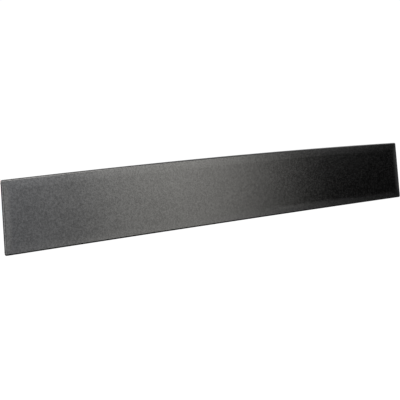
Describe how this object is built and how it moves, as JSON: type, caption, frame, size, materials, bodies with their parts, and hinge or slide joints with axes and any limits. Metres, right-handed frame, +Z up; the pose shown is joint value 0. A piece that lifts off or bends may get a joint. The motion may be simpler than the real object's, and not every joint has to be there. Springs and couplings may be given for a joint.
{
  "type": "kick plate",
  "caption": "Long, low moulded door kick plate with a gently arched top edge, a ribbed back, a foam edge seal and floating push-in retainers.",
  "frame": {"origin": "middle of the door plane, which is the plane of the panel's rear land, at mid-height of the two ends", "axes": "+X along the plate's length, to the right as seen from the front; +Y out of the back, into the door; +Z up; the face points to -Y"},
  "size_m": [0.8126, 0.0244, 0.1057],
  "materials": {
    "panel_moulding": "fine-textured satin black",
    "seal_foam": "closed-cell foam, matt",
    "retainer_nylon": "natural nylon, satin",
    "washer_foam": "closed-cell foam, matt",
    "pad_foam": "grey closed-cell foam, matt"
  },
  "bodies": {
    "panel": {"kick_plate_panel": "panel_moulding", "seal_top": "seal_foam", "seal_bottom": "seal_foam", "seal_left": "seal_foam", "seal_right": "seal_foam", "backing_pad_1": "pad_foam", "backing_pad_2": "pad_foam", "backing_pad_3": "pad_foam", "backing_pad_4": "pad_foam", "backing_pad_5": "pad_foam", "backing_pad_6": "pad_foam", "backing_pad_7": "pad_foam"},
    "upper_retainer_1": {"retainer_upper_1": "retainer_nylon", "washer_upper_1": "washer_foam"},
    "upper_retainer_2": {"retainer_upper_2": "retainer_nylon", "washer_upper_2": "washer_foam"},
    "upper_retainer_3": {"retainer_upper_3": "retainer_nylon", "washer_upper_3": "washer_foam"},
    "upper_retainer_4": {"retainer_upper_4": "retainer_nylon", "washer_upper_4": "washer_foam"},
    "lower_retainer_1": {"retainer_lower_1": "retainer_nylon", "washer_lower_1": "washer_foam"},
    "lower_retainer_2": {"retainer_lower_2": "retainer_nylon", "washer_lower_2": "washer_foam"},
    "lower_retainer_3": {"retainer_lower_3": "retainer_nylon", "washer_lower_3": "washer_foam"},
    "lower_retainer_4": {"retainer_lower_4": "retainer_nylon", "washer_lower_4": "washer_foam"}
  },
  "joints": [
    {"name": "upper_retainer_1_float", "type": "slide", "parent": "panel", "child": "upper_retainer_1", "axis": [1, 0, 0], "range_m": [-0.0015, 0.0015]},
    {"name": "upper_retainer_2_float", "type": "slide", "parent": "panel", "child": "upper_retainer_2", "axis": [1, 0, 0], "range_m": [-0.0015, 0.0015]},
    {"name": "upper_retainer_3_float", "type": "slide", "parent": "panel", "child": "upper_retainer_3", "axis": [1, 0, 0], "range_m": [-0.0015, 0.0015]},
    {"name": "upper_retainer_4_float", "type": "slide", "parent": "panel", "child": "upper_retainer_4", "axis": [1, 0, 0], "range_m": [-0.0015, 0.0015]},
    {"name": "lower_retainer_1_float", "type": "slide", "parent": "panel", "child": "lower_retainer_1", "axis": [1, 0, 0], "range_m": [-0.0015, 0.0015]},
    {"name": "lower_retainer_2_float", "type": "slide", "parent": "panel", "child": "lower_retainer_2", "axis": [1, 0, 0], "range_m": [-0.0015, 0.0015]},
    {"name": "lower_retainer_3_float", "type": "slide", "parent": "panel", "child": "lower_retainer_3", "axis": [1, 0, 0], "range_m": [-0.0015, 0.0015]},
    {"name": "lower_retainer_4_float", "type": "slide", "parent": "panel", "child": "lower_retainer_4", "axis": [1, 0, 0], "range_m": [-0.0015, 0.0015]}
  ]
}
